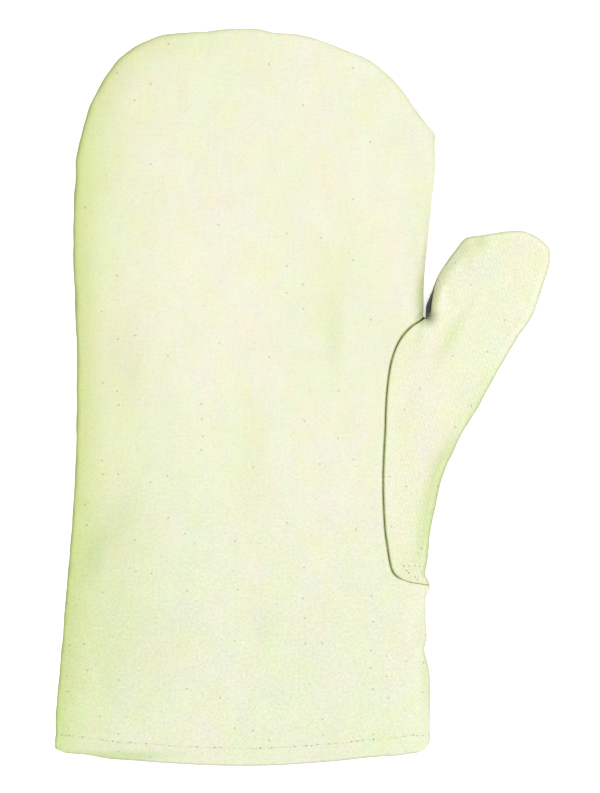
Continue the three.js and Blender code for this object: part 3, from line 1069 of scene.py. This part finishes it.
# The pieces of cloth: the CAD node that each stands for, and its flat cut in metres and square metres.
panels = {
    "palm_cloth": {"node": "palm_panel", "side": palmSide, "flat": (0.205, 0.372), "area": 0.0640},
    "thumb_cloth": {"node": "thumb_panel", "side": thumbSide, "flat": (0.105, 0.190), "area": 0.0110},
    "back_cloth": {"node": "back_panel", "side": backSide, "flat": (0.270, 0.372), "area": 0.0740},
    "hem_cloth": {"node": "cuff_hem", "side": hemSide, "flat": (0.400, 0.013), "area": 0.0050},
}
looks = [canvasLook, thumbCanvasLook, backCanvasLook, canvasLook]  # in the order of the sides


def makePanels():
    pieces = {}
    for name, panel in panels.items():
        side = panel["side"]
        part = partOf(cloth, side)
        if side != hemSide:
            rollSeams(part)
        layCut(part, mirrored=side == backSide)
        print(name, "measures", round(sum(face.calc_area() for face in part.faces), 4), "square metres")
        piece = thicken(part, name, looks[side])
        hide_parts(panel["node"])
        pieces[name] = piece
    return pieces


pieces = makePanels()


# Stitches are short rounded lengths of thread that lie on the cloth. Sizes are in millimetres.
thread = {"segments": 8, "rings": 6, "unlike": 0.1, "seed": 5}  # unlike: the share by which widths differ
hemStitches = {"pitch": 2.7, "length": 2.0, "radius": 0.26, "sunk": 0.04, "fromEdge": 8.5}
# Painted shade: the needle holes are small dark beads that stand for the shade in the holes.
hemHoles = {"length": 0.66, "radius": 0.4, "sunk": 0.15, "unlike": 0.9}
seamStitches = {"pitch": 2.5, "length": 2.75, "radius": 0.22, "sunk": 0.76}


def stitches(name, look, spots, stitch):
    bead = bmesh.new()
    size = Matrix.Diagonal((stitch["length"] / 2, stitch["radius"], stitch["radius"], 1.0))
    bmesh.ops.create_uvsphere(
        bead, u_segments=thread["segments"], v_segments=thread["rings"], radius=mm, matrix=size)
    one = bpy.data.meshes.new(name)
    bead.to_mesh(one)
    bead.free()
    mesh = bmesh.new()
    random.seed(thread["seed"])
    narrowest = 1 - stitch.get("unlike", thread["unlike"])
    for place, run, out in spots:
        side = out.cross(run).normalized()
        turned = Matrix((run, side, run.cross(side))).transposed().to_4x4()
        shrunk = Matrix.Diagonal((1.0, *[random.uniform(narrowest, 1.0)] * 2, 1.0))
        stitched = one.copy()
        stitched.transform(Matrix.Translation(place - out * stitch["sunk"] * mm) @ turned @ shrunk)
        mesh.from_mesh(stitched)
        bpy.data.meshes.remove(stitched)
    bpy.data.meshes.remove(one)
    piece = toObject(mesh, name, look)
    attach(piece, "root")
    print(name + ":", len(spots), "stitches")
    return piece


def spotsOn(surface, line, pitch, halfway=False):
    # Even spots along the line, put down on the cloth: the place, the way along the line and the way out.
    points = evenly(line, pitch * mm)
    if halfway:
        points = [here.lerp(there, 0.5) for here, there in zip(points, points[1:])]
    spots = []
    for before, here, after in zip([points[0]] + points, points, points[1:] + [points[-1]]):
        place, out, face, away = surface.find_nearest(here)
        run = after - before
        run = (run - out * run.dot(out)).normalized()
        spots.append((place, run, out))
    return spots


def stitchHem(surface):
    up = hemStitches["fromEdge"] * mm
    outside = [place + toward * up + out * mm for place, toward, out in hemFrames]
    inside = [place + toward * up - out * (2 * hem["radius"] + 1) * mm for place, toward, out in hemFrames]
    rows = [line + line[:1] for line in (outside, inside)]
    threads = [spot for line in rows for spot in spotsOn(surface, line, hemStitches["pitch"])[1:]]
    holes = [spot for line in rows for spot in spotsOn(surface, line, hemStitches["pitch"], halfway=True)]
    return (stitches("hem_stitching", threadLook, threads, hemStitches),
            stitches("hem_needle_hole_shade", holeShadeLook, holes, hemHoles))


def stitchThumb(mesh):
    panel = panelOf(mesh)
    line = loopOf([edge for edge in mesh.edges if onThumbSeam(edge, panel)])
    surface = BVHTree.FromBMesh(mesh)
    spots = spotsOn(surface, [vert.co for vert in line], seamStitches["pitch"], halfway=True)
    return stitches("thumb_seam_thread", seamThreadLook, spots, seamStitches)


# The seam's end is sewn over a few times. Each stitch is (x, y, direction in degrees).
backstitch = {
    "length": 0.95,
    "radius": 0.26,
    "sunk": 0.1,
    "above": 90,  # a height over the whole glove, from which each stitch is put down
    "stitches": [
        (47.6, -79.5, 70), (50.1, -79.7, 60), (52.8, -79.6, 80), (55.2, -79.8, 100), (49.0, -81.8, 30),
        (50.0, -82.8, 60), (56.0, -82.4, 92), (56.0, -83.7, 88), (53.0, -84.8, 0), (54.3, -86.1, 50),
    ],
}


def sewBackstitch(data):
    places = [vert.co for vert in data.vertices]
    surface = BVHTree.FromPolygons(places, [face.vertices for face in data.polygons])
    spots = []
    for x, y, direction in backstitch["stitches"]:
        above = Vector((x, y, backstitch["above"])) * mm
        place, out, face, away = surface.ray_cast(above, Vector((0, 0, -1)))
        run = Vector((math.cos(math.radians(direction)), math.sin(math.radians(direction)), 0))
        run = (run - out * run.dot(out)).normalized()
        spots.append((place, run, out))
    return stitches("backstitching", seamThreadLook, spots, backstitch)


hemThread, needleHoles = stitchHem(BVHTree.FromBMesh(cloth))
thumbThread = stitchThumb(cloth)
overSewn = sewBackstitch(pieces["thumb_cloth"].data)


# The table is lit a little of itself, so that it stays pale in the shade.
table = {
    "size": 3.0,  # half of its width in metres
    "below": 0.2,  # millimetres
    "sockets": {
        "Base Color": (0.93, 0.93, 0.93, 1),
        "Roughness": 1.0,
        "Emission Color": (1, 1, 1, 1),
        "Emission Strength": 0.5,
    },
}


def makeStage():
    mesh = bmesh.new()
    bmesh.ops.create_grid(mesh, x_segments=1, y_segments=1, size=table["size"])
    bmesh.ops.translate(mesh, verts=mesh.verts[:], vec=(0, 0, -table["below"] * mm))
    floor = toObject(mesh, "floor", newLook("floor", table["sockets"])[0])


makeStage()

view = {
    "centre": (-1.4, 0.5),  # the middle of the photograph, in millimetres
    "height": 376.2,  # what the frame's height covers at the side seam
    "seamHeight": 16.0,
    "distance": 3500.0,
    "filmWidth": 36.0,
}


def makeCamera():
    camera = newObject("camera", bpy.data.cameras.new("camera"))
    camera.location = Vector((*view["centre"], view["distance"])) * mm
    camera.data.sensor_width = view["filmWidth"]
    camera.data.lens = view["filmWidth"] * (view["distance"] - view["seamHeight"]) / view["height"]
    bpy.context.scene.camera = camera


makeCamera()


def makeLight(name, place, size, power):
    lamp = bpy.data.lights.new(name, "AREA")
    lamp.size = size
    lamp.energy = power
    light = newObject(name, lamp)
    light.location = place
    light.rotation_euler = (-Vector(place)).to_track_quat("-Z", "Y").to_euler()


makeLight("key", place=(0.3, 0.15, 2.2), size=1.2, power=18)
skyStrength = 0.86
world = bpy.data.worlds.new("studio")
world.use_nodes = True
sky = world.node_tree.nodes["Background"]
sky.inputs["Color"].default_value = (1, 1, 1, 1)
sky.inputs["Strength"].default_value = skyStrength
bpy.context.scene.world = world
bpy.context.scene.view_settings.view_transform = "Standard"
